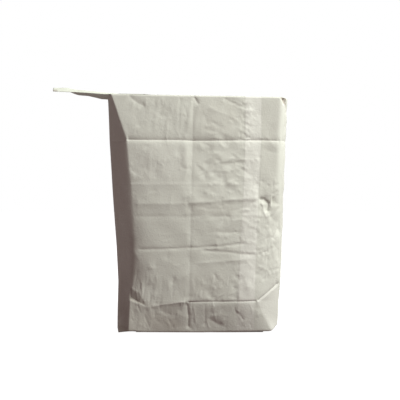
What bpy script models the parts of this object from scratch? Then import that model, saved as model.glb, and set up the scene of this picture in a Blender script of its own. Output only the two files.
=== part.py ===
"""Empty paper cement sack, opened out and standing on its folded bottom.

Metres, +Z up. The origin is the middle of the base, on the floor. The front panel faces -Y, and the
filling sleeve points towards -X out of the top end. Runs in Blender 4.5 with no other file.
"""

import math

import bmesh
import bpy

# Driving sizes of the sack.
TOP_HEIGHT = 0.6300        # the top end above the floor, at x = 0
TOP_SLOPE = -0.0175        # rise of the top end for each metre towards +X
TOP_ROUND = 0.0040         # how far the top end's folded edge is rounded
HALF_DEPTH = 0.055         # half of the folded ends' width, from the middle to the front panel
PANEL_CREASE = 0.5136      # height of the pressed crease across the front and back panels
BASE_CREASE = 0.0889       # height of the crease where the panels turn in towards the base

# Corner lines of the sack, each from the base to the top as (height, x).
FRONT_LEFT = ((0.0, -0.1890), (0.0889, -0.1890), (0.1340, -0.1850), (0.3453, -0.1815),
              (0.5136, -0.1933), (0.6350, -0.2360))
FRONT_RIGHT = ((0.0, 0.1930), (0.0889, 0.1530), (0.1340, 0.2138), (0.2000, 0.2110), (0.3453, 0.2100),
               (0.5136, 0.2127), (0.6350, 0.2219))
BACK_LEFT = ((0.0, -0.1900), (0.0889, -0.1840), (0.1340, -0.2040), (0.5136, -0.2120),
             (0.6350, -0.2300))
BACK_RIGHT = ((0.0, 0.1830), (0.0889, 0.1800), (0.1340, 0.1930), (0.5136, 0.1990),
              (0.6350, 0.2150))
LEFT_FOLD = ((0.0, -0.2184), (0.0120, -0.2223), (0.0350, -0.2240), (0.0889, -0.2240), (0.1340, -0.2229),
             (0.2296, -0.2268), (0.3453, -0.2355), (0.5136, -0.2453), (0.6350, -0.2474))
RIGHT_FOLD = ((0.0, 0.2075), (0.0889, 0.2112), (0.1340, 0.2162), (0.1600, 0.2180), (0.2000, 0.2210),
              (0.3453, 0.2260), (0.5136, 0.2330), (0.6350, 0.2360))

# How far behind the middle each side fold runs, as (height, y): both droop forward at the base.
LEFT_FOLD_Y = ((0.0, -0.0400), (0.0120, -0.0330), (0.0350, -0.0240), (0.0889, -0.0140), (0.1340, -0.0120))
RIGHT_FOLD_Y = ((0.0, -0.0353), (0.0889, -0.0333), (0.1340, -0.0300), (0.1600, -0.0120), (0.2000, 0.0020))

# How far a side wall bends out halfway between a corner and its fold, as (height, distance).
WALL_SWELL = ((0.0, 0.0), (0.1340, 0.0), (0.2000, 0.0040))

# How far the front right corner stands back, as (height, distance), and the x where that starts and
# where it is full. Below the folded corner's upper end the panel keeps its curve and is cut shorter.
CORNER_BACK = ((0.0, 0.0), (0.0889, 0.0220), (0.1340, 0.0220), (0.2400, 0.0150), (0.3453, 0.0080),
               (0.5136, 0.0))
CORNER_BACK_FROM = 0.112
CORNER_BACK_TO = 0.2133

# Heights of the rows of points between the base and the top.
ROW_HEIGHTS = (0.012, 0.022, 0.035, 0.0889, 0.112, 0.134, 0.160, 0.200, 0.2296, 0.2717, 0.3137, 0.3300, 0.3453,
               0.3650, 0.398, 0.430, 0.461, 0.490, 0.503, 0.5136, 0.525, 0.560, 0.595)

# Places of the columns across the front and back panels, from 0 at the left to 1 at the right.
FRONT_COLUMNS = (0.0, 0.02, 0.13, 0.28, 0.40, 0.43, 0.58, 0.73, 0.83, 0.91, 0.97, 1.0)
BACK_COLUMNS = (0.0, 0.03, 0.13, 0.30, 0.50, 0.70, 0.87, 0.97, 1.0)

# How far a panel swells in its middle, as (height, distance); its corners stay back.
SWELL = ((0.0, 0.0), (0.0889, 0.0110), (0.1500, 0.0120), (0.3000, 0.0125), (0.4200, 0.0078),
         (0.5136, 0.0040), (0.6350, 0.0))
CROWN_POWER = 2.6          # how evenly the swell spreads across a panel before it falls to the corners

# Forms pressed into the panels: depth, and half of the width where it applies.
PANEL_CREASE_DEPTH = 0.005
PANEL_CREASE_HALF = 0.014
CENTRE_CREASE_AT = 0.415
CENTRE_CREASE_DEPTH = 0.003
CENTRE_CREASE_HALF = 0.10
HAND_DENT_X = 0.176
HAND_DENT_Z = 0.330
HAND_DENT_DEPTH = 0.007
HAND_DENT_HALF_X = 0.034
HAND_DENT_HALF_Z = 0.034
BELLY_DENT_Z = 0.3450      # a shallow trough right across the front
BELLY_DENT_DEPTH = 0.004
BELLY_DENT_HALF = 0.034

# How far the panels draw in from the base crease down to the base, as (place across, distance).
FRONT_TURN_IN = ((0.0, -0.003), (0.5, 0.005), (1.0, 0.0075))
BACK_TURN_IN = ((0.0, 0.009), (1.0, 0.009))
CORNER_ROUND = 0.006       # how far the corner points are drawn in from the corner lines

# The base: its rim stands a little off the floor, and the middle is flat. The front edge's height is
# given as (place across, height).
FRONT_RIM = ((0.0, 0.0085), (0.12, 0.0050), (0.5, 0.0025), (1.0, 0.0060))
RIGHT_RIM = 0.0205
BACK_RIM = 0.0050
LEFT_RIM = 0.0005
RIM_BLEND = 0.045          # height below which the rows follow the rim
BASE_INSET = 0.028

# Paper sheets.
GAP = 0.0003
PATCH_THICKNESS = 0.0006
PATCH_HALF_WIDTH = 0.045
BASE_PATCH_X = (-0.172, 0.170)
BASE_PATCH_HALF_WIDTH = 0.0340
TOP_PATCH_X = (-0.214, 0.203)

# The filling sleeve, a flat paper tube, from where it is pasted to where its mouth is.
SLEEVE_THICKNESS = 0.0014
SLEEVE_NEAR_Y = -0.0500
SLEEVE_FAR_Y = 0.0400
SLEEVE_INNER_X = -0.150
SLEEVE_LEAVES_X = -0.236   # where it leaves the top end
SLEEVE_NEAR_TIP_X = -0.3858
SLEEVE_FAR_TIP_X = -0.4040
SLEEVE_STATIONS = (0.0, 0.10, 0.22, 0.44, 0.59, 0.75, 1.0)
SLEEVE_ACROSS = (0.0, 0.25, 0.5, 0.75, 1.0)
# Rise above the top end's plane, from where the sleeve leaves it (0) to its mouth (1).
SLEEVE_NEAR_RISE = ((0.0, 0.0), (0.10, 0.0), (0.50, 0.0015), (1.0, 0.0040))
SLEEVE_FAR_RISE = ((0.0, 0.0), (0.10, -0.0036), (0.22, -0.0026), (0.44, 0.0056), (0.59, 0.0070),
                   (0.75, 0.0160), (1.0, 0.0240))
SLEEVE_CROWN = ((0.0, 0.0030), (0.10, 0.0080), (0.50, 0.0088), (0.78, 0.0085), (1.0, 0.0040))
PATCH_RAMP = 0.020         # the cover sheet comes down over this length past the sleeve's inner end

KRAFT = (0.50, 0.48, 0.41)
SLEEVE_KRAFT = (0.56, 0.55, 0.50)
PATCH_KRAFT = (0.47, 0.45, 0.38)


def top_plane(x):
    """Height of the flat top end at x."""
    return TOP_HEIGHT + TOP_SLOPE * x


def along(line, place):
    """Value at a place of a line given as (place, value) points."""
    if place <= line[0][0]:
        return line[0][1]
    for (low, start), (high, end) in zip(line, line[1:]):
        if place <= high:
            return start + (end - start) * (place - low) / (high - low)
    return line[-1][1]


def tent(distance, half):
    """1 on a crease, falling straight to 0 at half of its width."""
    return max(0.0, 1.0 - abs(distance) / half)


def lift(height, x, rim):
    """Height of a point of a row: the lowest rows follow the rim, the highest the sloping top."""
    share = max(0.0, (height - PANEL_CREASE) / (TOP_HEIGHT - PANEL_CREASE))
    return height + rim * max(0.0, 1.0 - height / RIM_BLEND) + TOP_SLOPE * x * share


def corner_draw(share):
    """How far the ends of a panel curve back to round its corners."""
    return CORNER_ROUND * (tent(share, 0.03) + tent(1.0 - share, 0.03))


def panel_depth(height, share, wide_share, turn_in):
    """How far a panel stands in front of the flat half depth, the same rule for front and back."""
    crown = 1.0 - abs(2.0 * wide_share - 1.0) ** CROWN_POWER
    swell = along(SWELL, height) * crown - corner_draw(share)
    depth = swell - PANEL_CREASE_DEPTH * tent(height - PANEL_CREASE, PANEL_CREASE_HALF)
    return depth - along(turn_in, share) * max(0.0, BASE_CREASE - height) / BASE_CREASE


def front_y(height, share, left, right):
    """Y of the front panel, with the creases and dents that only the front has."""
    x = left + (right - left) * share
    wide = max(right, CORNER_BACK_TO)
    forward = panel_depth(height, share, (x - left) / (wide - left), FRONT_TURN_IN)
    forward -= CENTRE_CREASE_DEPTH * tent(share - CENTRE_CREASE_AT, CENTRE_CREASE_HALF)
    forward -= HAND_DENT_DEPTH * (tent(x - HAND_DENT_X, HAND_DENT_HALF_X)
                                  * tent(height - HAND_DENT_Z, HAND_DENT_HALF_Z))
    forward -= BELLY_DENT_DEPTH * (tent(height - BELLY_DENT_Z, BELLY_DENT_HALF)
                                   * math.sin(math.pi * share))
    past = max(0.0, (x - CORNER_BACK_FROM) / (wide - CORNER_BACK_FROM))
    forward -= along(CORNER_BACK, height) * past ** 2
    return -HALF_DEPTH - forward


def halfway(first, second, out_x):
    """A point between two corner lines, pushed outwards so that the wall bends softly."""
    middle = [(a + b) / 2 for a, b in zip(first, second)]
    middle[0] += out_x
    return tuple(middle)


def ring(height):
    """Points once round the sack at a height, starting at the front left corner."""
    left, right = along(FRONT_LEFT, height), along(FRONT_RIGHT, height)
    front = []
    for share in FRONT_COLUMNS:
        x = left + (right - left) * share
        front.append((x, front_y(height, share, left, right), lift(height, x, along(FRONT_RIM, share))))
    back_left, back_right = along(BACK_LEFT, height), along(BACK_RIGHT, height)
    back = []
    for share in reversed(BACK_COLUMNS):
        x = back_left + (back_right - back_left) * share
        back.append((x, HALF_DEPTH + panel_depth(height, share, share, BACK_TURN_IN), lift(height, x, BACK_RIM)))
    right_x, left_x = along(RIGHT_FOLD, height), along(LEFT_FOLD, height)
    right_fold = (right_x, along(RIGHT_FOLD_Y, height), lift(height, right_x, RIGHT_RIM))
    left_fold = (left_x, along(LEFT_FOLD_Y, height), lift(height, left_x, LEFT_RIM))
    swell = along(WALL_SWELL, height)
    return (front
            + [halfway(front[-1], right_fold, swell), right_fold, halfway(right_fold, back[0], swell)]
            + back
            + [halfway(back[-1], left_fold, -swell), left_fold, halfway(left_fold, front[0], -swell)])


def object_from(name, mesh_builder, colour, roughness, smooth_angle):
    """Make a named object with its own paper material from a filled bmesh."""
    mesh = bpy.data.meshes.new(name)
    bmesh.ops.recalc_face_normals(mesh_builder, faces=mesh_builder.faces)
    mesh_builder.to_mesh(mesh)
    mesh_builder.free()
    mesh.shade_smooth()
    mesh.set_sharp_from_angle(angle=smooth_angle)
    material = bpy.data.materials.new(name + "_paper")
    material.use_nodes = True
    shader = material.node_tree.nodes["Principled BSDF"]
    shader.inputs["Base Color"].default_value = (*colour, 1.0)
    shader.inputs["Roughness"].default_value = roughness
    shader.inputs["Metallic"].default_value = 0.0
    mesh.materials.append(material)
    made = bpy.data.objects.new(name, mesh)
    bpy.context.scene.collection.objects.link(made)
    return made


def add_loft(builder, rings):
    """Join closed rings of equal length with quads, and return their vertices."""
    rows = [[builder.verts.new(point) for point in points] for points in rings]
    for lower, upper in zip(rows, rows[1:]):
        for here in range(len(lower)):
            after = (here + 1) % len(lower)
            builder.faces.new((lower[here], lower[after], upper[after], upper[here]))
    return rows


def base_ring(rim):
    """The flat middle of the base, drawn in from the rim and just above the cover sheet."""
    centre_x = sum(point[0] for point in rim) / len(rim)
    half_x = max(abs(point[0] - centre_x) for point in rim)
    scale_x = 1.0 - 2.0 * BASE_INSET / half_x
    scale_y = 1.0 - BASE_INSET / HALF_DEPTH
    height = PATCH_THICKNESS + GAP
    return [(centre_x + (x - centre_x) * scale_x, y * scale_y, height) for x, y, _ in rim]


def top_ring(shoulder):
    """The edge of the flat top end, drawn in from the ring below it."""
    drawn = []
    for x, y, _ in shoulder:
        reach = math.hypot(x, y)
        inner_x, inner_y = x - TOP_ROUND * x / reach, y - math.copysign(min(abs(y), TOP_ROUND), y)
        drawn.append((inner_x, inner_y, top_plane(inner_x)))
    return drawn


def make_sack_tube():
    """The paper body: panels, side walls, flat top end and folded base in one closed solid."""
    builder = bmesh.new()
    rim = ring(0.0)
    shoulder = ring(TOP_HEIGHT - TOP_ROUND)
    rings = [base_ring(rim), rim] + [ring(height) for height in ROW_HEIGHTS]
    rows = add_loft(builder, rings + [shoulder, top_ring(shoulder)])
    builder.faces.new(list(reversed(rows[0])))
    builder.faces.new(rows[-1])
    bmesh.ops.triangulate(builder, faces=builder.faces)
    return object_from("sack_tube", builder, KRAFT, 0.85, math.radians(25))


def add_plate(builder, stations):
    """A closed thin sheet from stations, each a run of (underside, upper side) point pairs."""
    rings = []
    for pairs in stations:
        under = [pair[0] for pair in pairs]
        upper = [pair[1] for pair in reversed(pairs)]
        rings.append(under + upper)
    rows = add_loft(builder, rings)
    builder.faces.new(list(reversed(rows[0])))
    builder.faces.new(rows[-1])


def sheet_pair(x, y, z, thickness):
    """Underside and upper side of a sheet at a place."""
    return (x, y, z), (x, y, z + thickness)


def sleeve_point(part, across):
    """A point of the sleeve's underside: part runs to its mouth, across from its near edge."""
    tip_x = SLEEVE_NEAR_TIP_X + (SLEEVE_FAR_TIP_X - SLEEVE_NEAR_TIP_X) * across
    x = SLEEVE_LEAVES_X + (tip_x - SLEEVE_LEAVES_X) * part
    y = SLEEVE_NEAR_Y + (SLEEVE_FAR_Y - SLEEVE_NEAR_Y) * across
    near, far = along(SLEEVE_NEAR_RISE, part), along(SLEEVE_FAR_RISE, part)
    crown = along(SLEEVE_CROWN, part) * math.sin(math.pi * across)
    return x, y, top_plane(x) + GAP + near + (far - near) * across + crown


def make_valve_sleeve():
    """The flat filling sleeve: pasted in the top end, its free end rises and twists."""
    stations = []
    for x in (SLEEVE_INNER_X, TOP_PATCH_X[0] - SLEEVE_THICKNESS):
        pairs = []
        for across in SLEEVE_ACROSS:
            _, y, _ = sleeve_point(0.0, across)
            pairs.append(sheet_pair(x, y, top_plane(x) + GAP, SLEEVE_THICKNESS))
        stations.append(pairs)
    for part in SLEEVE_STATIONS:
        stations.append([sheet_pair(*sleeve_point(part, across), SLEEVE_THICKNESS)
                         for across in SLEEVE_ACROSS])
    builder = bmesh.new()
    add_plate(builder, stations)
    bmesh.ops.triangulate(builder, faces=builder.faces)
    return object_from("valve_sleeve", builder, SLEEVE_KRAFT, 0.8, math.radians(30))


def make_top_end_patch():
    """The cover sheet of the top end: it lies over the sleeve's pasted part and then on the end."""
    raised = SLEEVE_THICKNESS + GAP
    profile = ((TOP_PATCH_X[0], raised), (SLEEVE_INNER_X + GAP, raised),
               (SLEEVE_INNER_X + PATCH_RAMP, 0.0), (TOP_PATCH_X[1], 0.0))
    builder = bmesh.new()
    plates = []
    for x, above in profile:
        z = top_plane(x) + GAP + above
        plates.append([sheet_pair(x, y, z, PATCH_THICKNESS)
                       for y in (-PATCH_HALF_WIDTH, PATCH_HALF_WIDTH)])
    add_plate(builder, plates)
    return object_from("top_end_patch", builder, PATCH_KRAFT, 0.85, math.radians(30))


def make_bottom_end_patch():
    """The cover sheet of the base, flat on the floor."""
    builder = bmesh.new()
    add_plate(builder, [[sheet_pair(x, y, 0.0, PATCH_THICKNESS)
                         for y in (-BASE_PATCH_HALF_WIDTH, BASE_PATCH_HALF_WIDTH)]
                        for x in BASE_PATCH_X])
    return object_from("bottom_end_patch", builder, PATCH_KRAFT, 0.85, math.radians(30))


def main():
    """Clear the scene and make the sack's pieces."""
    for old in list(bpy.data.objects):
        bpy.data.objects.remove(old)
    make_sack_tube()
    make_valve_sleeve()
    make_top_end_patch()
    make_bottom_end_patch()


main()
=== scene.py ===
"""Dresses an empty paper cement sack: creased kraft body, filling sleeve and pasted cover sheets.

Every size is in metres in the part's own frame, unless a field says millimetres. The front panel
faces -Y, the filling sleeve points towards -X, and the sack stands on its folded bottom at z = 0.
"""

import logging
import math
from dataclasses import dataclass, field
from enum import Enum
from typing import Protocol, Union

import bpy
import numpy as np
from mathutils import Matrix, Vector


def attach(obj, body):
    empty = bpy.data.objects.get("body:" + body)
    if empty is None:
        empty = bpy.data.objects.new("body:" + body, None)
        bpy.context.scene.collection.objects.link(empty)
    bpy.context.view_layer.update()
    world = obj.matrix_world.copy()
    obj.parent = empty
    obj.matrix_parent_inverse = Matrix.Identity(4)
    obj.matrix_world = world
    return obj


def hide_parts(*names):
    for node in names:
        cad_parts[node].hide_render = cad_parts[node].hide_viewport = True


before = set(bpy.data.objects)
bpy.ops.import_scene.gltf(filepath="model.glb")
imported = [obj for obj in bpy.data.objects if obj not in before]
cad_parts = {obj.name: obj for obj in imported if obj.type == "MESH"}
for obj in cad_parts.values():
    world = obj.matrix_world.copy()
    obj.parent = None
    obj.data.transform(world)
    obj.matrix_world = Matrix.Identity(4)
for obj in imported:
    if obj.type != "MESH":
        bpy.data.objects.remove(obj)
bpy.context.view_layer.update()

log = logging.getLogger("cement_sack")

MM = 0.001
ROOT_BODY = "root"
# Paler folds, with a painted highlight along the corner fold at the lower right.
FOLD_RUB_AND_HIGHLIGHT = "fold_wear"
# Paler tone: the glued strip, paler paper, and painted light where the panel faces the lamps.
STRIP_AND_LIGHT_TONE = "seam_tone"
# Darker tone: soil, and painted shade on the left wall, under folds, in the top right pocket and at the sleeve's
# mouth.
SOIL_AND_SHADE = "soil"

Colour = tuple[float, float, float]
Place = tuple[float, float]
Line = tuple[Place, ...]
Number = Union[int, float]


class Tint(Enum):
    """Which tone of a sheet of paper a stain changes: the darker tone holds soil and painted shade, the paler tone
    the glued strip, paler paper and painted light.
    """

    SOILED_AND_SHADED = "soil"
    PALER_AND_LIT = "seam"


class Joining(Enum):
    """How two values are combined by a Math node."""

    ADD = "ADD"
    SUBTRACT = "SUBTRACT"
    MULTIPLY = "MULTIPLY"
    DIVIDE = "DIVIDE"
    POWER = "POWER"
    LEAST = "MINIMUM"
    MOST = "MAXIMUM"


class Signal:
    """One socket of a material, usable in Python arithmetic."""

    def __init__(self, graph: "NodeGraph", socket: bpy.types.NodeSocket) -> None:
        """Keep the graph and the socket.

        Args:
            graph: The graph that new nodes go into.
            socket: The output socket that gives the value.
        """
        self.graph = graph
        self.socket = socket

    def join(self, other: Union["Signal", Number], how: Joining, swapped: bool = False) -> "Signal":
        """Combine this value with another through a Math node.

        Args:
            other: A signal or a plain number.
            how: The operation.
            swapped: Put the other value first.

        Returns:
            The result as a new signal.
        """
        pair = (other, self) if swapped else (self, other)
        return self.graph.add("ShaderNodeMath", {"operation": how.value}, {0: pair[0], 1: pair[1]})

    def __add__(self, other: Union["Signal", Number]) -> "Signal":
        """Add."""
        return self.join(other, Joining.ADD)

    def __radd__(self, other: Union["Signal", Number]) -> "Signal":
        """Add, from the right."""
        return self.join(other, Joining.ADD, swapped=True)

    def __sub__(self, other: Union["Signal", Number]) -> "Signal":
        """Subtract."""
        return self.join(other, Joining.SUBTRACT)

    def __rsub__(self, other: Union["Signal", Number]) -> "Signal":
        """Subtract from the other value."""
        return self.join(other, Joining.SUBTRACT, swapped=True)

    def __mul__(self, other: Union["Signal", Number]) -> "Signal":
        """Multiply."""
        return self.join(other, Joining.MULTIPLY)

    def __rmul__(self, other: Union["Signal", Number]) -> "Signal":
        """Multiply, from the right."""
        return self.join(other, Joining.MULTIPLY, swapped=True)

    def __pow__(self, other: Union["Signal", Number]) -> "Signal":
        """Raise to a power."""
        return self.join(other, Joining.POWER)

    def ramp(self, low: float, high: float) -> "Signal":
        """Spread the stretch from low to high over 0 to 1, and clamp it.

        Args:
            low: The value that becomes 0.
            high: The value that becomes 1.

        Returns:
            The spread value.
        """
        return self.graph.add("ShaderNodeMapRange", {"clamp": True},
                              {"Value": self, "From Min": low, "From Max": high})


class NodeGraph:
    """The node tree of one material or of the world."""

    def __init__(self, tree: bpy.types.NodeTree) -> None:
        """Start from an empty tree.

        Args:
            tree: The tree, which is cleared.
        """
        self.tree = tree
        tree.nodes.clear()

    def node(self, kind: str, settings: dict | None = None, sockets: dict | None = None) -> bpy.types.Node:
        """Add any node.

        Args:
            kind: The node's type name.
            settings: Attributes of the node, set before its sockets.
            sockets: Values or signals by socket name or number.

        Returns:
            The node.
        """
        made = self.tree.nodes.new(kind)
        for name, value in (settings or {}).items():
            setattr(made, name, value)
        for name, value in (sockets or {}).items():
            target = made.inputs[name]
            if isinstance(value, Signal):
                self.tree.links.new(value.socket, target)
            else:
                target.default_value = value
        return made

    def add(self, kind: str, settings: dict | None = None, sockets: dict | None = None,
            output: str | int = 0) -> Signal:
        """Add any node and take one of its outputs.

        Args:
            kind: The node's type name.
            settings: Attributes of the node, set before its sockets.
            sockets: Values or signals by socket name or number.
            output: The output's name or number.

        Returns:
            The output as a signal.
        """
        return Signal(self, self.node(kind, settings, sockets).outputs[output])

    def stretched(self, place: Signal, scale: tuple[float, float, float]) -> Signal:
        """Multiply a place by a scale along each axis.

        Args:
            place: A vector signal.
            scale: Factors along X, Y and Z.

        Returns:
            The scaled vector.
        """
        return self.add("ShaderNodeVectorMath", {"operation": "MULTIPLY"}, {0: place, 1: scale})

    def noise(self, place: Signal, scale: float, detail: float = 3.0, distortion: float = 0.0) -> Signal:
        """Soft noise from 0 to 1.

        Args:
            place: Where the noise is read.
            scale: Number of blotches in a metre.
            detail: Number of finer layers.
            distortion: How much the blotches swirl.

        Returns:
            The noise value.
        """
        return self.add("ShaderNodeTexNoise", {}, {"Vector": place, "Scale": scale, "Detail": detail,
                                                  "Roughness": 0.55, "Distortion": distortion})

    def blend(self, share: Signal | float, first: Signal | Colour, second: Signal | Colour) -> Signal:
        """Mix two colours.

        Args:
            share: How much of the second colour shows.
            first: The colour at 0.
            second: The colour at 1.

        Returns:
            The mixed colour.
        """
        def filled(colour: Signal | Colour) -> Signal | tuple[float, float, float, float]:
            """Give a plain colour its alpha."""
            return colour if isinstance(colour, Signal) else (*colour, 1.0)

        mixer = self.node("ShaderNodeMix", {"data_type": "RGBA"},
                          {0: share, 6: filled(first), 7: filled(second)})
        return Signal(self, mixer.outputs[2])


@dataclass(frozen=True)
class KraftFinish:
    """Sack kraft paper: cloudy fibre formation, fine fibres, paler worn folds, and paler and darker tones that also
    paint light, a highlight and shade.
    """

    name: str
    tone: Colour
    cloud: Colour
    worn_and_lit: Colour
    soiled: Colour = (0.31, 0.28, 0.225)
    fibre_bump: float = 0.00012
    cockle_bump: float = 0.00050
    roughness: float = 0.82
    clouds_per_metre: float = 26.0
    flecks_per_metre: float = 420.0
    fibres: tuple[float, float, float] = (900.0, 900.0, 110.0)

    def material(self) -> bpy.types.Material:
        """Build the paper's material.

        Returns:
            The material.
        """
        made = bpy.data.materials.new(self.name)
        made.use_nodes = True
        graph = NodeGraph(made.node_tree)
        place = graph.add("ShaderNodeTexCoord", output="Object")
        clouds = graph.noise(place, self.clouds_per_metre, detail=4.0, distortion=0.6)
        formation = graph.noise(place, self.clouds_per_metre * 7.0, detail=3.0)
        flecks = graph.noise(place, self.flecks_per_metre, detail=2.0)
        fibre = graph.noise(graph.stretched(place, self.fibres), 1.0, detail=2.0)
        cockle = graph.noise(place, 150.0, detail=3.0, distortion=1.2)
        rub_and_highlight = graph.add("ShaderNodeAttribute", {"attribute_name": FOLD_RUB_AND_HIGHLIGHT}, output="Fac")
        seam = graph.add("ShaderNodeAttribute", {"attribute_name": STRIP_AND_LIGHT_TONE}, output="Fac")

        mottle = (clouds.ramp(0.35, 0.70) * 0.5 + formation.ramp(0.3, 0.7) * 0.3
                  + fibre.ramp(0.3, 0.75) * 0.2)
        colour = graph.blend(mottle, self.tone, self.cloud)
        speck = flecks.ramp(0.66, 0.74) * 0.25
        colour = graph.blend(speck, colour, self.cloud)
        # Paler tone: the glued strip, paler paper, and painted light on zones that face the lamps.
        colour = graph.blend(seam.ramp(0.0, 1.0) * 0.75, colour, self.worn_and_lit)
        # Paler folds, and a painted highlight along the corner fold at the lower right.
        colour = graph.blend(rub_and_highlight.ramp(0.0, 1.0) * 0.5, colour, self.worn_and_lit)
        # Darker tone: soil, and painted shade.
        soil = graph.add("ShaderNodeAttribute", {"attribute_name": SOIL_AND_SHADE}, output="Fac")
        colour = graph.blend(soil.ramp(0.0, 1.0) * (clouds.ramp(0.3, 0.7) * 0.3 + 0.7), colour, self.soiled)

        rough = self.roughness + formation * 0.08 + rub_and_highlight * 0.05
        height = fibre * self.fibre_bump + cockle * self.cockle_bump + formation * self.cockle_bump * 0.4
        normal = graph.add("ShaderNodeBump", {}, {"Strength": 1.0, "Distance": 1.0, "Height": height},
                           output="Normal")
        shader = graph.node("ShaderNodeBsdfPrincipled", {},
                            {"Base Color": colour, "Roughness": rough, "Normal": normal,
                             "Specular IOR Level": 0.25, "Metallic": 0.0})
        graph.node("ShaderNodeOutputMaterial", {}, {"Surface": Signal(graph, shader.outputs["BSDF"])})
        return made


@dataclass(frozen=True)
class FloorFinish:
    """Pale, plain, matt studio floor."""

    name: str = "studio_floor"
    tone: Colour = (0.25, 0.25, 0.25)
    glow: float = 0.97

    def material(self) -> bpy.types.Material:
        """Build the floor's material.

        Returns:
            The material.
        """
        made = bpy.data.materials.new(self.name)
        made.use_nodes = True
        graph = NodeGraph(made.node_tree)
        shader = graph.node("ShaderNodeBsdfPrincipled", {},
                            {"Base Color": (*self.tone, 1.0), "Roughness": 0.9,
                             "Specular IOR Level": 0.1, "Emission Color": (1.0, 1.0, 1.0, 1.0),
                             "Emission Strength": self.glow})
        graph.node("ShaderNodeOutputMaterial", {}, {"Surface": Signal(graph, shader.outputs["BSDF"])})
        return made


def smooth_step(value: np.ndarray) -> np.ndarray:
    """Ease from 0 to 1, clamped outside."""
    held = np.clip(value, 0.0, 1.0)
    return held * held * (3.0 - 2.0 * held)


@dataclass
class PaperSheet:
    """A field of points of paper: where they lie on the panel, and what is pressed into them.

    Across and up are in millimetres. Relief is outwards, in millimetres.
    """

    across: np.ndarray
    up: np.ndarray
    relief: np.ndarray = field(init=False)
    rub_and_highlight: np.ndarray = field(init=False)
    seam: np.ndarray = field(init=False)
    soil: np.ndarray = field(init=False)

    def __post_init__(self) -> None:
        """Start flat, clean and unworn."""
        self.relief = np.zeros_like(self.across)
        self.rub_and_highlight = np.zeros_like(self.across)
        self.seam = np.zeros_like(self.across)
        self.soil = np.zeros_like(self.across)


class Pressing(Protocol):
    """Anything that shapes a sheet of paper."""

    def press(self, sheet: PaperSheet) -> None:
        """Shape the sheet."""


@dataclass(frozen=True)
class Crease:
    """A fold line pressed into the paper, in millimetres.

    A line drawn from left to right has its first reach above it. A positive depth is a valley.
    """

    line: Line
    depth: float
    reach: tuple[float, float] = (7.0, 7.0)
    fade: float = 22.0
    worn_and_lit: float = 0.5

    def press(self, sheet: PaperSheet) -> None:
        """Press the fold into the sheet.

        Args:
            sheet: The sheet to shape.
        """
        margin = 4.0 * max(self.reach)
        places = np.array(self.line)
        low, high = places.min(axis=0) - margin, places.max(axis=0) + margin
        near = ((sheet.across > low[0]) & (sheet.across < high[0])
                & (sheet.up > low[1]) & (sheet.up < high[1]))
        x, z = sheet.across[near], sheet.up[near]
        if not x.size:
            return
        nearest = np.full(x.shape, np.inf)
        side = np.zeros(x.shape)
        run = np.zeros(x.shape)
        walked = 0.0
        for start, end in zip(places, places[1:]):
            step = end - start
            length = float(np.hypot(*step))
            along = ((x - start[0]) * step[0] + (z - start[1]) * step[1]) / length
            held = np.clip(along, 0.0, length)
            gap = np.hypot(x - start[0] - held * step[0] / length, z - start[1] - held * step[1] / length)
            turn = step[0] * (z - start[1]) - step[1] * (x - start[0])
            closer = gap < nearest
            nearest = np.where(closer, gap, nearest)
            side = np.where(closer, turn, side)
            run = np.where(closer, walked + held, run)
            walked += length
        ends = smooth_step(run / self.fade) * smooth_step((walked - run) / self.fade)
        reach = np.where(side > 0.0, self.reach[0], self.reach[1])
        sheet.relief[near] -= self.depth * np.exp(-nearest / reach) * ends
        rub = self.worn_and_lit * min(1.0, abs(self.depth) / 1.5)
        sheet.rub_and_highlight[near] = np.maximum(sheet.rub_and_highlight[near], rub * np.exp(-(nearest / 1.6) ** 2) * ends)


@dataclass(frozen=True)
class Facet:
    """A flat-sided dent or bump over a polygon, deepest at its apex, in millimetres."""

    corners: Line
    apex: Place
    depth: float
    tone: float = 0.0
    tint: Tint = Tint.SOILED_AND_SHADED

    def press(self, sheet: PaperSheet) -> None:
        """Press the dent into the sheet.

        Args:
            sheet: The sheet to shape.
        """
        tip = np.array(self.apex)
        for first, second in zip(self.corners, self.corners[1:] + self.corners[:1]):
            a, b = np.array(first) - tip, np.array(second) - tip
            area = a[0] * b[1] - a[1] * b[0]
            x, z = sheet.across - tip[0], sheet.up - tip[1]
            to_a = (x * b[1] - z * b[0]) / area
            to_b = (a[0] * z - a[1] * x) / area
            inside = (to_a >= 0.0) & (to_b >= 0.0) & (to_a + to_b <= 1.0)
            sheet.relief[inside] -= self.depth * (1.0 - to_a[inside] - to_b[inside])
            getattr(sheet, self.tint.value)[inside] += self.tone


@dataclass(frozen=True)
class Swell:
    """A soft rounded bulge or hollow, in millimetres; a positive rise stands out."""

    centre: Place
    spread: tuple[float, float]
    rise: float
    turn: float = 0.0

    def press(self, sheet: PaperSheet) -> None:
        """Swell the sheet.

        Args:
            sheet: The sheet to shape.
        """
        cos, sin = math.cos(math.radians(self.turn)), math.sin(math.radians(self.turn))
        x, z = sheet.across - self.centre[0], sheet.up - self.centre[1]
        along = (x * cos + z * sin) / self.spread[0]
        over = (z * cos - x * sin) / self.spread[1]
        sheet.relief += self.rise * np.exp(-0.5 * (along ** 2 + over ** 2))


@dataclass(frozen=True)
class Stain:
    """A soft darker or paler patch, in millimetres and degrees; some paint shade and light on the panel, some only
    tone the paper.
    """

    centre: Place
    spread: tuple[float, float]
    amount: float
    turn: float = 0.0
    tint: Tint = Tint.SOILED_AND_SHADED

    def press(self, sheet: PaperSheet) -> None:
        """Tone the sheet.

        Args:
            sheet: The sheet to tone.
        """
        cos, sin = math.cos(math.radians(self.turn)), math.sin(math.radians(self.turn))
        x, z = sheet.across - self.centre[0], sheet.up - self.centre[1]
        along = (x * cos + z * sin) / self.spread[0]
        over = (z * cos - x * sin) / self.spread[1]
        tone = getattr(sheet, self.tint.value)
        tone += self.amount * np.exp(-(along ** 4 + over ** 4))


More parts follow.
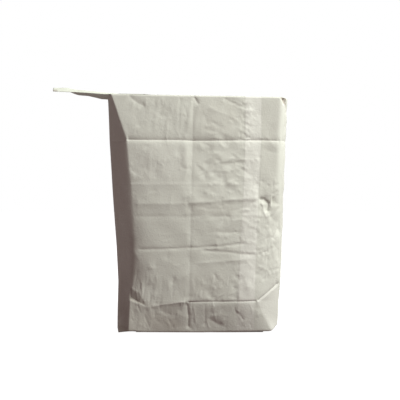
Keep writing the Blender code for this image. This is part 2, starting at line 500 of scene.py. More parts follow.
@dataclass(frozen=True)
class PlyEdge:
    """The edge of a pasted ply: paper on one side of the line stands higher, in millimetres."""

    line: Line
    rise: float
    firm: Line
    soft: float = 1.2

    def press(self, sheet: PaperSheet) -> None:
        """Raise the paper right of the line, as seen walking from its first point to its last.

        Args:
            sheet: The sheet to shape.
        """
        places = np.array(self.line)
        edge = np.interp(sheet.up, places[::-1, 1], places[::-1, 0])
        firm = self.rise * SackBody.along(self.firm, sheet.up)
        sheet.relief += firm * smooth_step((sheet.across - edge) / self.soft) * smooth_step(
            1.0 - (sheet.across - edge) / 40.0)


@dataclass(frozen=True)
class SeamStrip:
    """The paler glued strip between two edges that run down the panel, in millimetres."""

    left: Line
    right: Line
    tilt: float
    firm: Line

    def press(self, sheet: PaperSheet) -> None:
        """Tone the strip, and lift its left edge.

        Args:
            sheet: The sheet to shape.
        """
        left, right = np.array(self.left), np.array(self.right)
        start = np.interp(sheet.up, left[::-1, 1], left[::-1, 0])
        end = np.interp(sheet.up, right[::-1, 1], right[::-1, 0])
        share = (sheet.across - start) / (end - start)
        band = smooth_step((sheet.across - start) / 2.5 + 0.5) * smooth_step((end - sheet.across) / 1.5 + 0.5)
        firm = SackBody.along(self.firm, sheet.up)
        sheet.seam = np.maximum(sheet.seam, band * (0.5 + 0.5 * firm))
        sheet.relief += self.tilt * firm * band * (1.0 - share)


@dataclass(frozen=True)
class Crumple:
    """A patch of paper with many small random creases, in millimetres and degrees."""

    centre: Place
    spread: tuple[float, float]
    count: int
    depth: tuple[float, float]
    length: tuple[float, float]
    heading: float
    scatter: float
    seed: int
    reach: tuple[float, float] = (2.5, 7.0)
    worn_and_lit: float = 0.25

    def press(self, sheet: PaperSheet) -> None:
        """Crease the patch.

        Args:
            sheet: The sheet to shape.
        """
        draw = np.random.default_rng(self.seed)
        for _ in range(self.count):
            offset = draw.uniform(-1.0, 1.0, 2)
            middle = np.array(self.centre) + offset * np.array(self.spread)
            angle = math.radians(self.heading + draw.normal(0.0, self.scatter))
            half = 0.5 * draw.uniform(*self.length)
            bend = math.radians(draw.normal(0.0, 14.0))
            first = middle - half * np.array((math.cos(angle), math.sin(angle)))
            last = middle + half * np.array((math.cos(angle + bend), math.sin(angle + bend)))
            depth = draw.uniform(*self.depth) * draw.choice((-1.0, 1.0))
            reaches = tuple(draw.uniform(*self.reach, 2))
            Crease((tuple(first), tuple(middle), tuple(last)), depth, reaches, half * 0.8,
                   self.worn_and_lit).press(sheet)


@dataclass(frozen=True)
class Ripple:
    """Soft parallel waves within a window, in millimetres and degrees."""

    centre: Place
    spread: tuple[float, float]
    wavelength: float
    height: float
    heading: float
    seed: int
    waves: int = 5

    def press(self, sheet: PaperSheet) -> None:
        """Ripple the sheet.

        Args:
            sheet: The sheet to shape.
        """
        draw = np.random.default_rng(self.seed)
        window = np.exp(-((sheet.across - self.centre[0]) / self.spread[0]) ** 4
                        - ((sheet.up - self.centre[1]) / self.spread[1]) ** 4)
        total = np.zeros_like(sheet.across)
        for _ in range(self.waves):
            length = self.wavelength * draw.uniform(0.6, 1.7)
            angle = math.radians(self.heading + draw.normal(0.0, 9.0))
            phase = draw.uniform(0.0, math.tau)
            ahead = sheet.across * math.cos(angle) + sheet.up * math.sin(angle)
            total += np.sin(math.tau * ahead / length + phase)
        sheet.relief += self.height * window * total / math.sqrt(self.waves)


class PieceMaker:
    """Turns points and faces into a finished piece of the part."""

    @staticmethod
    def make(name: str, points: np.ndarray, faces: list, material: bpy.types.Material, slot: str,
             replaced: str, tones: dict[str, np.ndarray] | None = None) -> bpy.types.Object:
        """Make the piece, ride it on the part's body and let it stand for its solid.

        Args:
            name: The piece's name.
            points: Its points, one row each.
            faces: Its faces as runs of point numbers.
            material: Its finish.
            slot: Not used.
            replaced: The solid that it stands for.
            tones: Values for each point, by attribute name.

        Returns:
            The piece.
        """
        mesh = bpy.data.meshes.new(name)
        mesh.from_pydata(points.tolist(), [], faces)
        mesh.shade_smooth()
        for tone, values in (tones or {}).items():
            mesh.attributes.new(tone, "FLOAT", "POINT").data.foreach_set("value", values.astype(np.float32))
        mesh.materials.append(material)
        mesh.update()
        piece = bpy.data.objects.new(name, mesh)
        bpy.context.scene.collection.objects.link(piece)
        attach(piece, ROOT_BODY)
        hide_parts(replaced)
        log.info("%s: %d points, %d faces", name, len(points), len(faces))
        return piece


FRONT_PRESSINGS: tuple[Pressing, ...] = (
    # The pressed crease across the panel.
    Crease(((-193, 514), (-110, 513), (-60, 513), (-18, 511), (60, 511.5), (118, 512), (160, 512),
            (214, 511)), 2.6, (7, 5), 6, 0.8),
    Crease(((-246, 511), (-220, 512), (-194, 514)), 1.6, (5, 6), 5, 0.4),
    Crease(((214, 511), (246, 512), (290, 512)), 1.6, (7, 5), 5, 0.5),
    # The crease above the base, which dips at the left.
    Crease(((-194, 89), (-171, 82), (-146, 74), (-125, 75)), -0.5, (3, 6), 6, 0.6),
    Crease(((-130, 75), (-92, 81.5), (-37, 89)), -1.4, (5, 6), 6, 0.8),
    Crease(((-34, 87), (10, 88.5), (60, 88.5), (153, 89)), 2.1, (3.5, 4), 6, 1.0),
    # Lengthwise creases.
    Crease(((-18, 628), (-19, 512), (-21, 430), (-24, 250), (-27, 90)), 1.2, (8, 12), 14, 0.35),
    Crease(((-134, 492), (-134, 400)), -0.35, (2.5, 4), 20, 0.3),
    Crease(((-129, 486), (-129, 398)), -0.35, (2, 4), 20, 0.3),
    Crease(((-130, 138), (-130, 80)), 0.6, (3, 4), 10, 0.3),
    # The fine ridge across the middle and the soft forms below it.
    Crease(((-190, 398), (-60, 398), (-18, 399), (100, 398), (150, 397)), -0.5, (2.5, 8), 10, 0.8),
    Crease(((-176, 346), (-60, 346), (-24, 347)), -1.9, (20, 14), 16, 0.1),
    Crease(((-34, 347), (20, 350), (60, 354), (157, 361)), -2.6, (18, 7), 12, 0.1),
    Crease(((-176, 314), (-60, 314.5), (20, 315), (108, 312)), 0.8, (2.5, 9), 16, 0.4),
    Crease(((10, 272), (60, 271), (118, 270)), 1.3, (8, 5), 22, 0.2),
    Crease(((-166, 226), (-80, 228), (-26, 231), (0, 232), (60, 236), (125, 243)), 1.6, (2.4, 3.5), 14, 0.2),
    Crease(((0, 224), (60, 221), (131, 213), (154, 212)), 1.6, (2.5, 4), 14, 0.3),
    Crease(((-75, 184), (-42, 185)), -0.5, (2, 3), 8, 0.3),
    Crease(((-20, 190), (20, 192), (60, 196), (118, 200), (146, 204)), -1.0, (4, 5), 26, 0.4),
    # Top zone: the short wrinkle at the left, the dent beside the middle, slanting wrinkles.
    Crease(((-190, 632), (-165, 612), (-142, 600)), 1.6, (7, 9), 10, 0.4),
    Crease(((-19, 630), (-10, 616), (-3, 604)), 2.0, (4, 4), 6, 0.5),
    Crease(((60, 624), (95, 606), (120, 597)), 1.1, (3, 6), 9, 0.4),
    Crease(((82, 608), (118, 590), (140, 588)), -0.9, (4, 3), 9, 0.6),
    Crease(((10, 600), (60, 582), (100, 566)), -0.7, (7, 4), 18, 0.4),
    Crease(((72, 588), (104, 571), (120, 560)), -0.6, (3, 4), 10, 0.5),
    Crease(((-78, 600), (-80, 560), (-84, 520)), 0.7, (6, 8), 18, 0.2),
    Crease(((-52, 626), (-54, 570), (-58, 520)), 0.6, (7, 6), 20, 0.2),
    Crease(((-140, 626), (-142, 600)), -0.7, (3, 4), 7, 0.4),
    Crease(((-97, 626), (-98, 604)), -0.8, (3, 4), 7, 0.4),
    Crease(((120, 530), (121, 514)), 1.0, (2.5, 3), 4, 0.5),
    # Under the pressed crease.
    Swell((-38, 474), (8, 26), 1.8, -2.0),
    Crease(((-50, 439), (-36, 437), (-22, 439)), 0.9, (3, 2), 5, 0.2),
    Facet(((-14, 455), (20, 432), (17, 404), (-12, 418)), (10, 428), 1.6),
    Crease(((40, 452), (80, 452), (118, 455)), 1.0, (3, 5), 14, 0.3),
    Crease(((70, 466), (100, 462), (160, 460)), -0.7, (3, 4), 12, 0.5),
    Crease(((84, 482), (104, 466), (122, 458)), -0.8, (3, 3), 8, 0.6),
    Crease(((20, 430), (60, 425), (112, 428)), 0.7, (3, 5), 14, 0.2),
    # The slanting facet above the left end of the base crease; its darker tone is painted shade.
    Facet(((-189, 124), (-162, 111), (-140, 77), (-195, 91)), (-186, 96), 4.0, 0.5),
    # Below the middle, the panel curves back to both of its corners.
    Swell((-196, 185), (22, 85), -8.0),
    # The crisp fold of the folded corner at the lower right; the second, raised line's paler tone paints a
    # highlight along the fold.
    Crease(((153, 89), (186, 112), (218, 134)), 2.6, (3.5, 5), 3, 0.4),
    Crease(((157, 86), (189, 108), (221, 130)), -1.2, (3, 6), 3, 1.3),
    # Below the base crease.
    Crease(((-34, 88), (-30, 50), (-31, 12)), 2.6, (4.5, 8), 10, 0.15),
    Crease(((-18, 84), (-14, 60), (-10, 24)), -0.9, (5, 6), 14, 0.4),
    Crease(((13, 86), (14, 20)), 0.8, (4, 5), 10, 0.3),
    Crease(((-132, 72), (-90, 58), (-52, 48)), 0.9, (6, 9), 16, 0.3),
    Crease(((-118, 66), (-120, 44)), 0.9, (3, 3), 8, 0.4),
    Crease(((16, 44), (50, 26), (70, 18)), 0.8, (5, 5), 12, 0.3),
    Crease(((20, 50), (52, 51), (88, 50)), -0.5, (3, 4), 12, 0.3),
    # The finger dent at the right and the folds beside it.
    Swell((170, 336), (12, 16), -3.0, 20),
    Crease(((155, 358), (170, 358), (182, 347), (180, 322)), 4.4, (4.5, 7), 5, 0.1),
    Crease(((158, 350), (168, 342), (170, 326), (176, 312), (188, 318)), -2.4, (4, 4), 7, 0.9),
    Facet(((190, 374), (213, 384), (217, 342), (190, 338)), (193, 352), 4.5),
    Crease(((186, 306), (200, 318), (216, 338)), 1.3, (4, 4), 8, 0.4),
    Crease(((110, 316), (140, 318), (172, 312)), -1.1, (3, 3), 8, 0.7),
    Crease(((140, 300), (160, 302)), -0.8, (2.5, 3), 6, 0.6),
    Crease(((155, 216), (160, 211), (168, 216), (184, 222)), 1.6, (3, 3), 5, 0.8),
    Crease(((193, 250), (204, 264), (218, 284)), 2.6, (4, 6), 7, 0.3),
    Facet(((180, 316), (224, 322), (224, 256), (188, 262)), (217, 290), 5.0),
    Facet(((194, 244), (222, 252), (220, 190), (204, 196)), (216, 220), 2.5),
    # The top right corner is pushed in; the darker tone of the next two facets paints the shade inside the pocket
    # and below it.
    Facet(((206, 628), (234, 628), (238, 608), (220, 604)), (225, 619), 7.0),
    Facet(((210, 626), (234, 626), (240, 606), (222, 610)), (226, 618), 2.0, 1.0),
    Facet(((222, 612), (236, 608), (254, 588), (247, 586)), (238, 600), 1.0, 0.9),
    Crease(((228, 612), (249, 599), (276, 584)), 3.0, (5, 5), 6, 0.0),
    # The glued lengthwise seam.
    SeamStrip(((119, 632), (118, 512), (114, 366), (103, 148), (98, 10)),
              ((161, 632), (161, 512), (155, 366), (147, 148), (143, 10)), 0.8,
              ((0, 0.1), (80, 0.15), (92, 0.9), (166, 0.8), (190, 0.35), (330, 0.3), (400, 0.5), (632, 0.6))),
    PlyEdge(((161, 632), (161, 512), (155, 366), (147, 148), (143, 10)), 0.45,
            ((0, 0.1), (85, 0.1), (95, 0.3), (330, 0.35), (358, 1.0), (500, 0.8), (520, 0.4), (632, 0.3))),
    # Paler and darker patches: painted light, painted shade, and plain tone of the paper, as marked.
    # Painted light on the lower right, where the panel turns towards the lamps.
    Stain((190, 190), (90, 110), 0.22, 0.0, Tint.PALER_AND_LIT),
    Stain((-110, 455), (80, 62), 0.25, 0.0, Tint.PALER_AND_LIT),
    # Painted shade under the ridge across the middle.
    Stain((30, 334), (64, 18), 0.20),
    # Painted light on the folded corner at the lower right.
    Facet(((152, 89), (215, 135), (222, 6), (192, 0)), (190, 60), 0.0, 0.6, Tint.PALER_AND_LIT),
    Stain((185, 572), (24, 64), 0.12),
    Stain((183, 440), (24, 90), 0.10),
    Stain((50, 566), (64, 62), 0.20),
    # Painted shade on the left wall's low part and on its tip.
    Stain((-217, 55), (28, 95), 0.40),
    Stain((-224, 4), (40, 16), 0.55),
    # Painted shade along the panel's left edge, where it bends towards the wall.
    Stain((-180, 215), (12, 62), 0.26),
    Stain((-170, 145), (22, 34), 0.22),
    # Painted shade below the base crease; the third patch only darkens the paper.
    Stain((-85, 22), (60, 24), 0.30, -14.0),
    Stain((-130, 40), (95, 46), 0.40),
    Stain((20, 128), (54, 36), 0.22),
    # Painted shade along the bottom edge.
    Stain((0, 0), (300, 6), 0.25),
    # Crinkles along the seam's left edge, and loose ones over the panel.
    Crumple((118, 565), (14, 55), 34, (0.26, 1.01), (8, 26), 65, 45, 11, (1.4, 3.5), 0.4),
    Crumple((70, 575), (60, 45), 30, (0.26, 0.87), (16, 50), -28, 20, 12, (2.0, 5.0)),
    Crumple((90, 420), (60, 70), 60, (0.2, 0.72), (12, 42), -8, 25, 22, (1.6, 4.0), 0.4),
    Crumple((-80, 450), (100, 50), 30, (0.1, 0.36), (14, 50), 85, 25, 13, (1.6, 4.0)),
    Crumple((-60, 300), (120, 90), 26, (0.1, 0.41), (30, 110), 0, 8, 14, (2.0, 5.0)),
    Crumple((80, 325), (80, 34), 40, (0.26, 0.87), (18, 60), 3, 12, 21, (1.6, 4.0), 0.4),
    Crumple((100, 245), (70, 60), 46, (0.2, 0.65), (14, 46), 5, 22, 15, (1.6, 4.0)),
    Crumple((-140, 115), (40, 40), 34, (0.26, 0.72), (24, 64), 90, 6, 16, (1.6, 4.0)),
    Crumple((-50, 120), (60, 30), 22, (0.2, 0.58), (24, 56), 90, 5, 24, (2.5, 6.0)),
    Crumple((50, 125), (60, 30), 34, (0.26, 0.87), (14, 44), 80, 30, 17, (1.8, 5.0)),
    Crumple((-20, 48), (160, 36), 64, (0.26, 0.87), (12, 46), 90, 22, 18, (1.6, 4.5)),
    Crumple((185, 300), (26, 110), 40, (0.26, 1.01), (10, 34), 40, 40, 19, (1.6, 4.5)),
    Crumple((-110, 565), (80, 55), 30, (0.16, 0.58), (14, 50), 88, 25, 20, (2.0, 5.0)),
    Crumple((0, 300), (190, 290), 70, (0.5, 1.3), (25, 80), 0, 60, 31, (6.0, 16.0), 0.0),
    Crumple((60, 440), (60, 70), 26, (0.5, 1.2), (16, 46), -5, 30, 32, (3.0, 9.0), 0.1),
    Crumple((130, 200), (40, 90), 70, (0.2, 0.8), (8, 26), 15, 40, 25, (1.3, 3.0), 0.4),
    Crumple((190, 210), (26, 80), 70, (0.3, 0.9), (8, 30), 65, 35, 26, (1.4, 3.4), 0.4),
    Crumple((60, 130), (56, 34), 44, (0.2, 0.7), (6, 22), 70, 45, 27, (1.3, 2.8), 0.3),
    Crumple((138, 450), (22, 150), 60, (0.2, 0.7), (6, 20), 10, 40, 28, (1.3, 2.8), 0.4),
    Crumple((-110, 460), (70, 45), 50, (0.15, 0.5), (6, 20), 45, 50, 29, (1.3, 2.8), 0.3),
    Crumple((-100, 570), (80, 50), 50, (0.2, 0.6), (6, 22), 60, 50, 30, (1.3, 2.8), 0.3),
    Crumple((-218, 330), (18, 250), 40, (0.2, 0.7), (30, 110), 88, 6, 61, (3.0, 8.0), 0.1),
    Crumple((250, 340), (28, 250), 60, (0.4, 1.2), (20, 70), 80, 30, 62, (3.0, 9.0), 0.2),
    Ripple((-60, 575), (70, 50), 24, 0.25, 4, 33),
    Ripple((0, 330), (240, 330), 110, 0.6, 50, 34),
)

BACK_PRESSINGS: tuple[Pressing, ...] = (
    Crease(((-215, 512), (-60, 513), (60, 512), (205, 513)), 3.0, (8, 9), 8, 0.8),
    Crease(((-190, 90), (-60, 88), (60, 88), (185, 89)), 3.0, (7, 9), 8, 0.9),
    Crease(((22, 628), (20, 400), (24, 90)), 1.4, (14, 12), 16, 0.35),
    Crease(((-200, 396), (-40, 399), (190, 398)), -0.8, (4, 9), 14, 0.7),
    Crease(((-190, 300), (-60, 292), (60, 300), (170, 296)), 2.4, (18, 14), 24, 0.2),
    Crease(((-150, 236), (0, 240), (140, 228)), 1.6, (8, 8), 22, 0.4),
    Crease(((-120, 600), (-80, 560), (-70, 524)), 1.2, (8, 8), 16, 0.4),
    Crumple((0, 300), (200, 100), 70, (0.4, 1.36), (30, 110), 0, 12, 51, (3.0, 8.0)),
    Crumple((0, 470), (200, 40), 44, (0.32, 1.02), (14, 50), 80, 50, 52, (2.5, 7.0)),
    Crumple((0, 570), (200, 50), 50, (0.4, 1.19), (16, 60), 60, 50, 53, (3.0, 8.0)),
    Crumple((0, 120), (190, 40), 60, (0.4, 1.19), (16, 60), 85, 25, 54, (2.5, 6.0)),
    Crumple((0, 45), (180, 36), 50, (0.4, 1.19), (14, 50), 85, 30, 55, (2.2, 6.0)),
    Ripple((0, 300), (240, 300), 80, 0.9, 65, 56),
    Ripple((0, 270), (200, 110), 28, 0.35, 88, 57),
)


@dataclass(frozen=True)
class Bend:
    """A lengthwise bend of the tube: its column of points, and how soft it is by height."""

    column: int
    softness: Line


@dataclass
class SackBody:
    """The paper body of the sack, as one closed skin over its panels, walls and folded ends."""

    finish: KraftFinish
    top_height: float = 0.6300
    top_slope: float = -0.0175
    half_depth: float = 0.055
    panel_crease: float = 0.5136
    base_crease: float = 0.0889
    front_left: Line = ((0.0, -0.1890), (0.0889, -0.1890), (0.1340, -0.1850), (0.3453, -0.1815),
                        (0.5136, -0.1933), (0.6350, -0.2360))
    front_right: Line = ((0.0, 0.1930), (0.0889, 0.1530), (0.1340, 0.2138), (0.2000, 0.2110),
                         (0.3453, 0.2100), (0.5136, 0.2127), (0.6350, 0.2219))
    back_left: Line = ((0.0, -0.1900), (0.0889, -0.1840), (0.1340, -0.2040), (0.5136, -0.2120),
                       (0.6350, -0.2300))
    back_right: Line = ((0.0, 0.1830), (0.0889, 0.1800), (0.1340, 0.1930), (0.5136, 0.1990),
                        (0.6350, 0.2150))
    left_fold: Line = ((0.0, -0.2184), (0.0120, -0.2223), (0.0350, -0.2240), (0.0889, -0.2240),
                       (0.1340, -0.2229), (0.2296, -0.2268), (0.3453, -0.2355), (0.5136, -0.2453),
                       (0.6350, -0.2474))
    right_fold: Line = ((0.0, 0.2075), (0.0889, 0.2112), (0.1340, 0.2162), (0.1600, 0.2180),
                        (0.2000, 0.2210), (0.3453, 0.2260), (0.5136, 0.2330), (0.6350, 0.2360))
    left_fold_y: Line = ((0.0, -0.0400), (0.0120, -0.0330), (0.0350, -0.0240), (0.0889, -0.0140),
                         (0.1340, -0.0120))
    right_fold_y: Line = ((0.0, -0.0353), (0.0889, -0.0333), (0.1340, -0.0300), (0.1600, -0.0120),
                          (0.2000, 0.0020))
    swell: Line = ((0.0, 0.0), (0.0889, 0.0110), (0.1500, 0.0120), (0.3000, 0.0125), (0.4200, 0.0078),
                   (0.5136, 0.0040), (0.6350, 0.0))
    wall_swell: Line = ((0.0, 0.0), (0.1340, 0.0), (0.2000, 0.0040))
    corner_back: Line = ((0.0, 0.0), (0.0889, 0.0220), (0.1340, 0.0220), (0.2400, 0.0150),
                         (0.3453, 0.0080), (0.5136, 0.0))
    corner_back_from: float = 0.112
    corner_back_to: float = 0.2133
    front_turn_in: Line = ((0.0, -0.003), (0.5, 0.005), (1.0, 0.0075))
    back_turn_in: float = 0.009
    base_inset: float = 0.028
    base_lift: float = 0.0009
    rim_front: Line = ((0.0, 0.0085), (0.12, 0.0050), (0.5, 0.0025), (1.0, 0.0060))
    rim_right: float = 0.0205
    rim_back: float = 0.0050
    rim_left: float = 0.0005
    rim_blend: float = 0.045
    front_columns: int = 210
    back_columns: int = 105
    wall_columns: int = 30
    rows: int = 228
    base_rows: int = 6
    top_rows: int = 6
    top_inset: float = 0.012

    @property
    def columns(self) -> int:
        """Number of points once round the sack."""
        return self.front_columns + self.back_columns + 2 * self.wall_columns

    def heights(self) -> np.ndarray:
        """Heights of the rows, closer together at the two main creases and at the ends."""
        fine = np.linspace(0.0, 1.0, 2001)
        height = fine * self.top_height
        density = np.ones_like(fine)
        for line in (self.panel_crease, self.base_crease, self.top_height):
            density += 1.6 * np.exp(-((height - line) / 0.008) ** 2)
        total = np.concatenate(([0.0], np.cumsum(0.5 * (density[1:] + density[:-1]))))
        wanted = np.linspace(0.0, total[-1], self.rows)
        return np.interp(wanted, total, height)

    @staticmethod
    def along(line: Line, height: np.ndarray) -> np.ndarray:
        """Value of a corner line at each height."""
        knots = np.array(line)
        return np.interp(height, knots[:, 0], knots[:, 1])

    def wall_rows(self) -> np.ndarray:
        """Lay out the rows of the panels and walls before any pressing.

        Returns:
            Points as rows by columns by three.
        """
        height = self.heights()[:, None]
        flat = height[:, 0]
        share = np.linspace(0.0, 1.0, self.front_columns + 1)[None, :]
        back_share = np.linspace(0.0, 1.0, self.back_columns + 1)[None, :]
        swell = self.along(self.swell, flat)[:, None]
        low = np.clip((self.base_crease - height) / self.base_crease, 0.0, 1.0)
        turn_in = self.along(self.front_turn_in, share[0])[None, :]
        left, right = self.along(self.front_left, flat)[:, None], self.along(self.front_right, flat)[:, None]
        front_x = left + (right - left) * share
        wide = np.maximum(right, self.corner_back_to)
        past = np.clip((front_x - self.corner_back_from) / (wide - self.corner_back_from), 0.0, 1.0)
        corner_back = self.along(self.corner_back, flat)[:, None] * past ** 2
        crown = self.crown((front_x - left) / (wide - left))
        front_depth = self.half_depth + swell * crown - turn_in * low - corner_back
        back_depth = self.half_depth + swell * self.crown(back_share) - self.back_turn_in * low

        back_l, back_r = self.along(self.back_left, flat)[:, None], self.along(self.back_right, flat)[:, None]
        back_x = back_r + (back_l - back_r) * back_share
        rim_front = self.along(self.rim_front, share[0])[None, :]
        front = np.stack([front_x, -front_depth, self.raised(height, front_x, rim_front)], axis=2)
        back = np.stack([back_x, back_depth, self.raised(height, back_x, self.rim_back)], axis=2)

        left_y = self.along(self.left_fold_y, flat)[:, None]
        right_y = self.along(self.right_fold_y, flat)[:, None]
        right_x, left_x = self.along(self.right_fold, flat)[:, None], self.along(self.left_fold, flat)[:, None]
        right_fold = np.stack([right_x, right_y, self.raised(height, right_x, self.rim_right)], axis=2)
        left_fold = np.stack([left_x, left_y, self.raised(height, left_x, self.rim_left)], axis=2)
        wall_swell = self.along(self.wall_swell, flat)[:, None, None]
        right_wall = self.half_walls(front[:, -1:], right_fold, back[:, :1], wall_swell)
        left_wall = self.half_walls(back[:, -1:], left_fold, front[:, :1], -wall_swell)
        return np.concatenate([front, right_wall, back, left_wall], axis=1)

    @staticmethod
    def crown(share: np.ndarray) -> np.ndarray:
        """How much of a panel's swell shows across it: most in the middle, none at its corners."""
        return 1.0 - np.abs(2.0 * share - 1.0) ** 2.6

    def half_walls(self, start: np.ndarray, fold: np.ndarray, end: np.ndarray,
                   swell: np.ndarray) -> np.ndarray:
        """Points of a side wall between two corners, by way of its middle fold.

        Args:
            start: The first corner's points.
            fold: The middle fold's points.
            end: The second corner's points.
            swell: How far each half bends out along X, for each row.

        Returns:
            The points, without the two corners.
        """
        half = self.wall_columns // 2
        share = (np.arange(1, half) / half)[None, :, None]
        bend = swell * np.sin(np.pi * share) * np.array((1.0, 0.0, 0.0))
        return np.concatenate([start + (fold - start) * share + bend, fold,
                               fold + (end - fold) * share + bend], axis=1)

    def raised(self, height: np.ndarray, x: np.ndarray, rim: np.ndarray | float) -> np.ndarray:
        """Height of each point: the lowest rows follow the rim, the highest the sloping top."""
        slope = np.clip((height - self.panel_crease) / (self.top_height - self.panel_crease), 0.0, 1.0)
        lift = rim * np.clip(1.0 - height / self.rim_blend, 0.0, 1.0)
        return height + lift + self.top_slope * x * slope

    def inset(self, ring: np.ndarray, distance: float, height: np.ndarray | float) -> np.ndarray:
        """Draw a ring in towards its middle, at a new height."""
        centre = 0.5 * (ring[:, 0].max() + ring[:, 0].min())
        half_x = 0.5 * (ring[:, 0].max() - ring[:, 0].min())
        half_y = np.abs(ring[:, 1]).max()
        x = centre + (ring[:, 0] - centre) * (1.0 - distance / half_x)
        y = ring[:, 1] * (1.0 - distance / half_y)
        return np.stack([x, y, np.broadcast_to(height, x.shape)], axis=1)

    def top_plane(self, x: np.ndarray | float) -> np.ndarray | float:
        """Height of the folded top end at x."""
        return self.top_height + self.top_slope * x

    def soften(self, rows: np.ndarray, amount: np.ndarray, passes: int, axis: int) -> np.ndarray:
        """Round a grid of points by blending each with its neighbours.

        Args:
            rows: The points.
            amount: How strongly each point is rounded, from 0 to 1.
            passes: How often.
            axis: 0 to round along the height, 1 to round about the sack.

        Returns:
            The rounded points.
        """
        for _ in range(passes):
            if axis == 1:
                before, after = np.roll(rows, 1, axis=1), np.roll(rows, -1, axis=1)
            else:
                before = np.concatenate([rows[:1], rows[:-1]])
                after = np.concatenate([rows[1:], rows[-1:]])
            rows = rows + amount[..., None] * (0.25 * before + 0.25 * after - 0.5 * rows)
        return rows

    def corner_softness(self, height: np.ndarray) -> np.ndarray:
        """How softly each column bends at each height.

        Args:
            height: Heights of the rows.

        Returns:
            Amounts from 0 to 1, as rows by columns.
        """
        columns = self.columns
        place = np.arange(columns)[None, :]
        amount = np.zeros((len(height), columns))
        for bend in self.bends():
            gap = np.abs((place - bend.column + columns // 2) % columns - columns // 2)
            strength = self.along(bend.softness, height)[:, None]
            window = 1.0 + 9.0 * strength
            amount = np.maximum(amount, strength * np.exp(-(gap / window) ** 2))
        return amount

    def bends(self) -> tuple["Bend", ...]:
        """The six lengthwise bends of the tube, in order from the front left corner."""
        right = self.front_columns
        back = right + self.wall_columns
        left = back + self.back_columns
        return (
            Bend(0, ((0.0, 0.02), (0.09, 0.15), (0.20, 0.9), (0.34, 0.5), (0.45, 0.12), (0.60, 0.06))),
            Bend(right, ((0.0, 0.35), (0.07, 0.3), (0.085, 0.03), (0.134, 0.02), (0.17, 0.7), (0.25, 1.0),
                         (0.5, 1.0), (0.60, 0.9))),
            Bend(right + self.wall_columns // 2, ((0.0, 0.01), (0.12, 0.01), (0.17, 0.10), (0.6, 0.2))),
            Bend(back, ((0.0, 0.2), (0.3, 0.6), (0.6, 0.3))),
            Bend(left, ((0.0, 0.2), (0.3, 0.6), (0.6, 0.3))),
            Bend(left + self.wall_columns // 2, ((0.0, 0.0), (0.03, 0.04), (0.6, 0.12))),
        )

    def press(self, rows: np.ndarray, wall_slice: slice) -> tuple[np.ndarray, dict[str, np.ndarray]]:
        """Press the creases of both panels into the rows.

        Args:
            rows: All the rows of points.
            wall_slice: The rows that belong to the panels and walls.

        Returns:
            The pressed points, and the tones of each point by name.
        """
        skin = rows[wall_slice]
        columns = skin.shape[1]
        step = np.linalg.norm(np.roll(skin, -1, axis=1) - skin, axis=2)
        walked = np.concatenate([np.zeros((len(skin), 1)), np.cumsum(step, axis=1)[:, :-1]], axis=1)
        total = step.sum(axis=1)[:, None]
        place = np.arange(columns)[None, :]
        left_fold = columns - self.wall_columns // 2
        left_wall = place > left_fold
        front_across = (skin[:, :1, 0] + np.where(left_wall, walked - total, walked)) / MM
        up = skin[:, :, 2] / MM
        front = PaperSheet(front_across, up)
        for pressing in FRONT_PRESSINGS:
            pressing.press(front)
        back_start = self.front_columns + self.wall_columns
        back_across = (skin[:, back_start:back_start + 1, 0] - (walked - walked[:, back_start:back_start + 1])) / MM
        back = PaperSheet(back_across, up)
        for pressing in BACK_PRESSINGS:
            pressing.press(back)

        right_fold = self.front_columns + self.wall_columns // 2
        share = smooth_step(np.maximum(right_fold - place, place - left_fold) / 6.0 + 0.5)
        relief = (front.relief * share + back.relief * (1.0 - share)) * MM
        tones = {FOLD_RUB_AND_HIGHLIGHT: front.rub_and_highlight * share + back.rub_and_highlight * (1.0 - share), STRIP_AND_LIGHT_TONE: front.seam * share,
                 SOIL_AND_SHADE: front.soil * share + back.soil * (1.0 - share)}

        around = np.roll(skin, -1, axis=1) - np.roll(skin, 1, axis=1)
        upward = np.gradient(skin, axis=0)
        outward = np.cross(around, upward)
        outward /= np.linalg.norm(outward, axis=2, keepdims=True)
        ends = np.clip((self.top_height - self.heights()) / 0.003, 0.0, 1.0)[:, None]
        pressed = rows.copy()
        pressed[wall_slice] = skin + outward * (relief * ends)[..., None]
        spare = ((wall_slice.start, len(rows) - wall_slice.stop), (0, 0))
        return pressed, {name: np.pad(tone, spare, mode="edge") for name, tone in tones.items()}

    def skin_rows(self) -> tuple[np.ndarray, dict[str, np.ndarray]]:
        """All the rows from the middle of the base up to the middle of the top end.

        Returns:
            The points, and their tones by name.
        """
        walls = self.wall_rows()
        height = self.heights()
        walls = self.soften(walls, self.corner_softness(height), 26, axis=1)
        base = []
        for step in range(self.base_rows):
            part = 1.0 - step / self.base_rows
            rim = walls[0]
            level = rim[:, 2] + (self.base_lift - rim[:, 2]) * part
            base.append(self.inset(rim, self.base_inset * part, level))
        top = []
        for step in range(1, self.top_rows + 1):
            rim = walls[-1]
            ring = self.inset(rim, self.top_inset * step / self.top_rows, 0.0)
            ring[:, 2] = self.top_plane(ring[:, 0])
            top.append(ring)
        rows = np.concatenate([np.array(base), walls, np.array(top)])
        wall_slice = slice(self.base_rows, self.base_rows + self.rows)
        rows, tones = self.press(rows, wall_slice)
        levels = np.arange(len(rows))[:, None]
        from_tip = np.arange(self.columns)[None, :] - (self.columns - self.wall_columns // 2)
        at_base = 0.15 * np.exp(-((levels - self.base_rows) / 1.2) ** 2) * (1.0 - np.exp(-(from_tip / 9.0) ** 2))
        at_top = np.exp(-((levels - self.base_rows - self.rows + 1) / 3.5) ** 2)
        return self.soften(rows, at_base + at_top, 10, axis=0), tones

